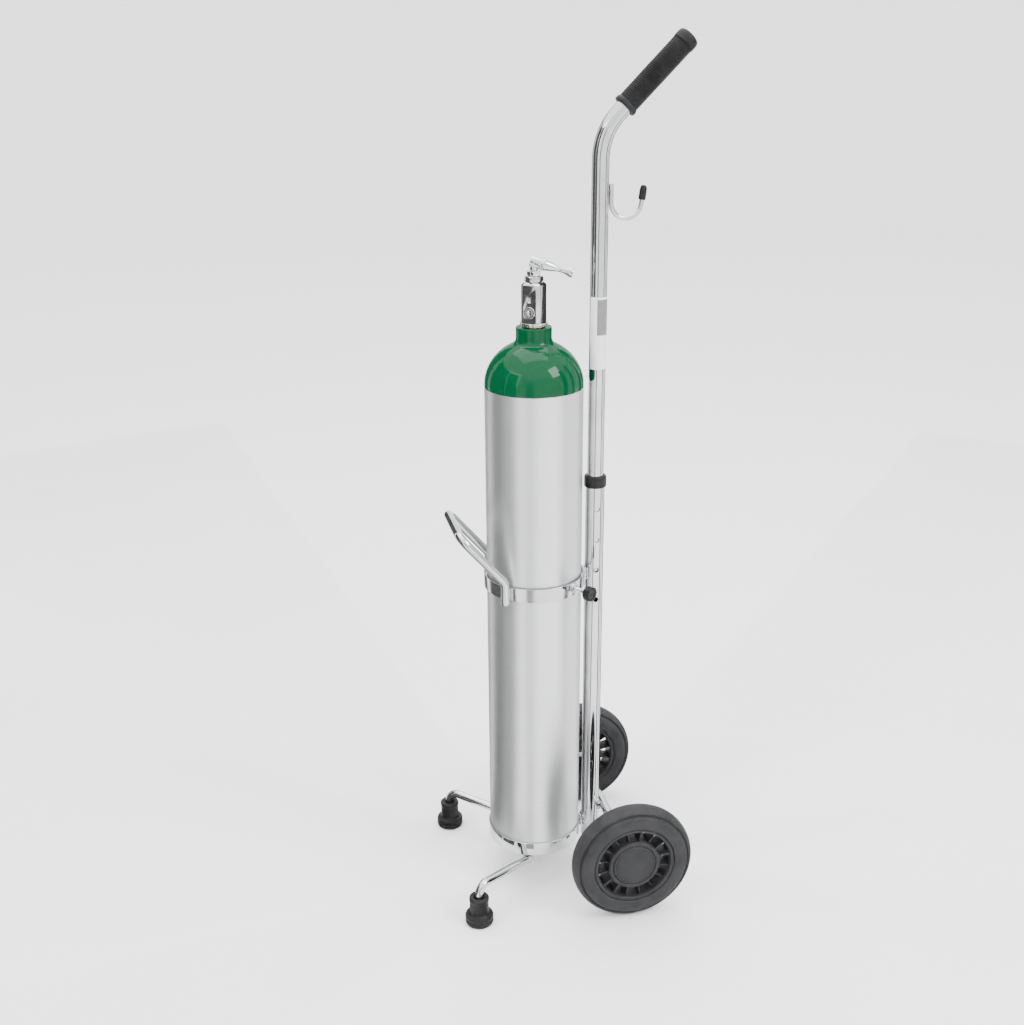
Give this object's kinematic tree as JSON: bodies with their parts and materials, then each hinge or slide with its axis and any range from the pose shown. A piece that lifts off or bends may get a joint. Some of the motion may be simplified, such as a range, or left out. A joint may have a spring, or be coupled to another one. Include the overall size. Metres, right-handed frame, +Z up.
{
  "type": "oxygen cylinder",
  "caption": "Medical gas cylinder with a post valve, standing in a two-wheeled cart with a telescoping handle.",
  "frame": {"origin": "on the floor under the middle of the outline box", "axes": "+Z up along the cylinder, +Y towards the wheels and grip, +X towards the side with the height holes; the axle runs along X"},
  "size_m": [0.2796, 0.2842, 1.0004],
  "materials": {
    "cylinder": "brushed aluminium with a glossy green shoulder",
    "chrome": "polished chrome plate",
    "steel": "zinc plated steel",
    "brass": "machined brass",
    "seal": "black seal rubber",
    "plastic": "moulded black plastic",
    "rubber": "moulded black rubber",
    "tyre": "dark grey solid tyre",
    "hub": "moulded dark plastic",
    "label": "plain white film"
  },
  "bodies": {
    "frame": {"lower_tube": "chrome", "tube_plug": "plastic", "height_collar": "plastic", "ring_band": "chrome", "ring_block": "chrome", "bail_handle": "chrome", "clamp_nut": "chrome", "base_cup": "chrome", "cup_block": "chrome", "leg_left": "chrome", "leg_right": "chrome", "foot_left": "rubber", "foot_right": "rubber", "axle_tube": "chrome", "axle_rod": "steel", "wheel_washer_left": "steel", "wheel_washer_right": "steel", "push_nut_left": "steel", "push_nut_right": "steel"},
    "handle": {"upper_tube": "chrome", "hand_grip": "rubber", "label_sleeve": "label", "hook_rod": "chrome", "hook_cap": "rubber", "button_spring": "steel"},
    "button": {"snap_button": "steel"},
    "cylinder": {"cylinder_shell": "cylinder", "neck_oring": "seal", "neck_washer": "brass", "valve_body": "chrome", "bonnet_nut": "chrome", "packing_nut": "chrome", "packing_ring": "seal", "safety_plug": "chrome", "burst_disc": "brass"},
    "toggle": {"valve_stem": "steel", "toggle_head": "chrome", "toggle_lever": "chrome", "lever_pin": "steel"},
    "seat": {"seat_plug": "brass"},
    "pad": {"clamp_pad": "plastic"},
    "screw": {"clamp_screw": "steel", "clamp_knob": "plastic"},
    "wheel_right": {"tyre_right": "tyre", "hub_right": "hub", "wheel_bush_right": "steel", "hub_cap_right": "hub"},
    "wheel_left": {"tyre_left": "tyre", "hub_left": "hub", "wheel_bush_left": "steel", "hub_cap_left": "hub"}
  },
  "joints": [
    {"name": "handle_slide", "type": "slide", "parent": "frame", "child": "handle", "axis": [0, 0, 1], "range_m": [-0.0381, 0.0762]},
    {"name": "button_press", "type": "slide", "parent": "handle", "child": "button", "axis": [1, 0, 0], "range_m": [0, 0.0028], "stiffness_N_per_m": 300, "springref_m": 0.0028},
    {"name": "cylinder_lift", "type": "slide", "parent": "frame", "child": "cylinder", "axis": [0, 0, 1], "range_m": [0, 0.4]},
    {"name": "valve_turn", "type": "hinge", "parent": "cylinder", "child": "toggle", "pos_m": [0, -0.03318, 0.7652], "axis": [0, 0, 1], "range_deg": [0, 450]},
    {"name": "seat_lift", "type": "slide", "parent": "cylinder", "child": "seat", "axis": [0, 0, 1], "range_m": [0, 0.0019]},
    {"name": "clamp_advance", "type": "slide", "parent": "frame", "child": "pad", "axis": [0.8241, 0.5664, 0], "range_m": [0, 0.003]},
    {"name": "clamp_turn", "type": "hinge", "parent": "pad", "child": "screw", "pos_m": [0, -0.03318, 0.39965], "axis": [0.8241, 0.5664, 0], "range_deg": [0, 1080]},
    {"name": "wheel_right_spin", "type": "hinge", "parent": "frame", "child": "wheel_right", "pos_m": [0.1243, 0.05672, 0.0732], "axis": [1, 0, 0], "continuous": true},
    {"name": "wheel_left_spin", "type": "hinge", "parent": "frame", "child": "wheel_left", "pos_m": [-0.1243, 0.05672, 0.0732], "axis": [1, 0, 0], "continuous": true}
  ],
  "couplings": [
    {"joint": "seat_lift", "follows": "valve_turn", "m_per_rad": 0.00022282},
    {"joint": "clamp_turn", "follows": "clamp_advance", "rad_per_m": 6283.2}
  ]
}
